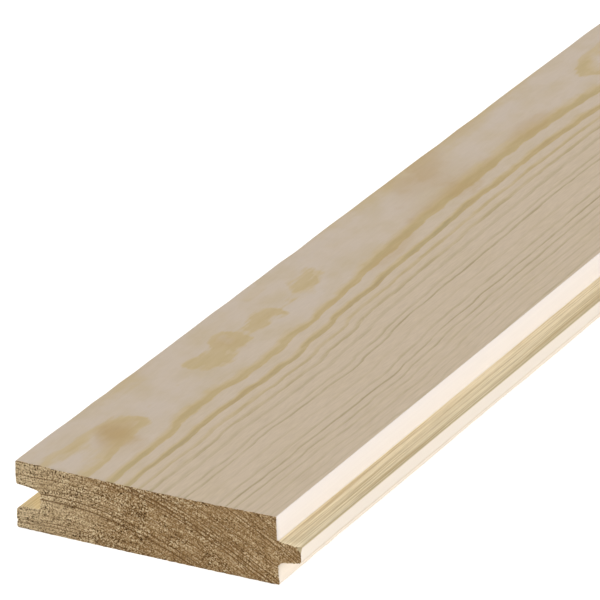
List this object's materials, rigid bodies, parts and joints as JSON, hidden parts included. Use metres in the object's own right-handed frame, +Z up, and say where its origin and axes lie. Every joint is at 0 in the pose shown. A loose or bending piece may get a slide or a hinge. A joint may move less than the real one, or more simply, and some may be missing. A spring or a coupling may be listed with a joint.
{
  "type": "tongue and groove board",
  "caption": "Long planed softwood board with a tapered tongue along one edge and a matching groove along the other.",
  "frame": {"origin": "middle of the overall width and length, on the underside that the board lies on", "axes": "+Y along the board's grain, +X across it from the grooved edge to the tongued edge, +Z up out of the face"},
  "size_m": [0.0954, 2, 0.022],
  "materials": {
    "softwood": "planed, untreated"
  },
  "bodies": {
    "root": {"board": "softwood"}
  },
  "joints": []
}
